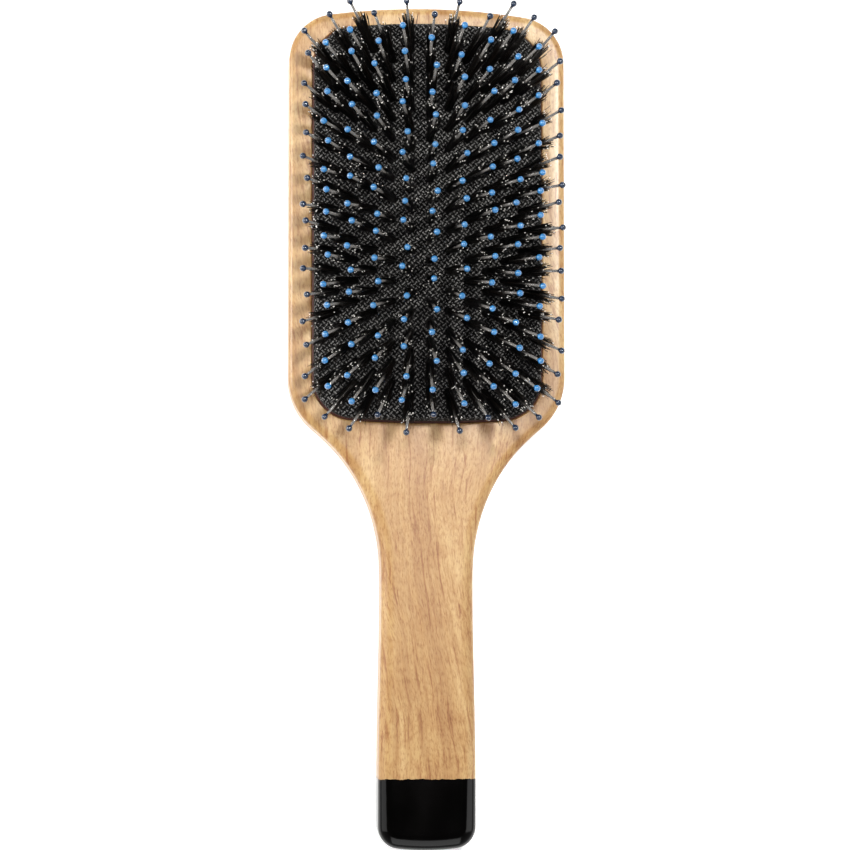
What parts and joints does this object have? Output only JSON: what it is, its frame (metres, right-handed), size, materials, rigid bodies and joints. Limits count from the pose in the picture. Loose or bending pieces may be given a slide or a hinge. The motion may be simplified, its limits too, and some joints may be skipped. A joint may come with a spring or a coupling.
{
  "type": "paddle hairbrush",
  "caption": "Flat wooden paddle hairbrush with a straight handle, a fabric-faced air cushion and fanned ball-tipped pins set in bristle tufts.",
  "frame": {"origin": "centre of the bounding box in X and Y, on the flat wooden back, which lies on Z = 0", "axes": "+Y from the handle's end to the top of the head, +Z out of the bristle face, +X across the head"},
  "size_m": [0.0822, 0.25, 0.0418],
  "materials": {
    "pale_wood": "satin",
    "black_lacquer": "gloss",
    "brown_rubber": "matte",
    "black_fabric": "woven",
    "clear_nylon": "gloss",
    "blue_nylon": "gloss",
    "dark_bristle": "satin"
  },
  "bodies": {
    "paddle": {"wood_paddle": "pale_wood", "lacquer_dip": "black_lacquer"},
    "cushion": {"rubber_membrane": "brown_rubber", "fabric_facing": "black_fabric"},
    "column_01": {"pins_01": "clear_nylon", "ball_tips_01": "blue_nylon", "bristles_01": "dark_bristle"},
    "column_02": {"pins_02": "clear_nylon", "ball_tips_02": "blue_nylon", "bristles_02": "dark_bristle"},
    "column_03": {"pins_03": "clear_nylon", "ball_tips_03": "blue_nylon", "bristles_03": "dark_bristle"},
    "column_04": {"pins_04": "clear_nylon", "ball_tips_04": "blue_nylon", "bristles_04": "dark_bristle"},
    "column_05": {"pins_05": "clear_nylon", "ball_tips_05": "blue_nylon", "bristles_05": "dark_bristle"},
    "column_06": {"pins_06": "clear_nylon", "ball_tips_06": "blue_nylon", "bristles_06": "dark_bristle"},
    "column_07": {"pins_07": "clear_nylon", "ball_tips_07": "blue_nylon", "bristles_07": "dark_bristle"},
    "column_08": {"pins_08": "clear_nylon", "ball_tips_08": "blue_nylon", "bristles_08": "dark_bristle"},
    "column_09": {"pins_09": "clear_nylon", "ball_tips_09": "blue_nylon", "bristles_09": "dark_bristle"},
    "column_10": {"pins_10": "clear_nylon", "ball_tips_10": "blue_nylon", "bristles_10": "dark_bristle"},
    "column_11": {"pins_11": "clear_nylon", "ball_tips_11": "blue_nylon", "bristles_11": "dark_bristle"}
  },
  "joints": [
    {"name": "cushion_press", "type": "slide", "parent": "paddle", "child": "cushion", "axis": [0, 0, -1], "range_m": [0, 0.003], "stiffness_N_per_m": 3000, "deforming": ["rubber_membrane", "fabric_facing"]},
    {"name": "lean_01", "type": "hinge", "parent": "cushion", "child": "column_01", "pos_m": [-0.0275, 0.0603, 0.01802], "axis": [0, 1, 0], "range_deg": [-8, 8], "stiffness_Nm_per_rad": 0.1},
    {"name": "lean_02", "type": "hinge", "parent": "cushion", "child": "column_02", "pos_m": [-0.022, 0.0603, 0.01909], "axis": [0, 1, 0], "range_deg": [-8, 8], "stiffness_Nm_per_rad": 0.1},
    {"name": "lean_03", "type": "hinge", "parent": "cushion", "child": "column_03", "pos_m": [-0.0165, 0.0603, 0.01993], "axis": [0, 1, 0], "range_deg": [-8, 8], "stiffness_Nm_per_rad": 0.1},
    {"name": "lean_04", "type": "hinge", "parent": "cushion", "child": "column_04", "pos_m": [-0.011, 0.0603, 0.02052], "axis": [0, 1, 0], "range_deg": [-8, 8], "stiffness_Nm_per_rad": 0.1},
    {"name": "lean_05", "type": "hinge", "parent": "cushion", "child": "column_05", "pos_m": [-0.0055, 0.0603, 0.02088], "axis": [0, 1, 0], "range_deg": [-8, 8], "stiffness_Nm_per_rad": 0.1},
    {"name": "lean_06", "type": "hinge", "parent": "cushion", "child": "column_06", "pos_m": [0, 0.0603, 0.021], "axis": [0, 1, 0], "range_deg": [-8, 8], "stiffness_Nm_per_rad": 0.1},
    {"name": "lean_07", "type": "hinge", "parent": "cushion", "child": "column_07", "pos_m": [0.0055, 0.0603, 0.02088], "axis": [0, 1, 0], "range_deg": [-8, 8], "stiffness_Nm_per_rad": 0.1},
    {"name": "lean_08", "type": "hinge", "parent": "cushion", "child": "column_08", "pos_m": [0.011, 0.0603, 0.02052], "axis": [0, 1, 0], "range_deg": [-8, 8], "stiffness_Nm_per_rad": 0.1},
    {"name": "lean_09", "type": "hinge", "parent": "cushion", "child": "column_09", "pos_m": [0.0165, 0.0603, 0.01993], "axis": [0, 1, 0], "range_deg": [-8, 8], "stiffness_Nm_per_rad": 0.1},
    {"name": "lean_10", "type": "hinge", "parent": "cushion", "child": "column_10", "pos_m": [0.022, 0.0603, 0.01909], "axis": [0, 1, 0], "range_deg": [-8, 8], "stiffness_Nm_per_rad": 0.1},
    {"name": "lean_11", "type": "hinge", "parent": "cushion", "child": "column_11", "pos_m": [0.0275, 0.0603, 0.01802], "axis": [0, 1, 0], "range_deg": [-8, 8], "stiffness_Nm_per_rad": 0.1}
  ],
  "couplings": [
    {"joint": "lean_01", "follows": "lean_06", "ratio": 1},
    {"joint": "lean_02", "follows": "lean_06", "ratio": 1},
    {"joint": "lean_03", "follows": "lean_06", "ratio": 1},
    {"joint": "lean_04", "follows": "lean_06", "ratio": 1},
    {"joint": "lean_05", "follows": "lean_06", "ratio": 1},
    {"joint": "lean_07", "follows": "lean_06", "ratio": 1},
    {"joint": "lean_08", "follows": "lean_06", "ratio": 1},
    {"joint": "lean_09", "follows": "lean_06", "ratio": 1},
    {"joint": "lean_10", "follows": "lean_06", "ratio": 1},
    {"joint": "lean_11", "follows": "lean_06", "ratio": 1}
  ]
}
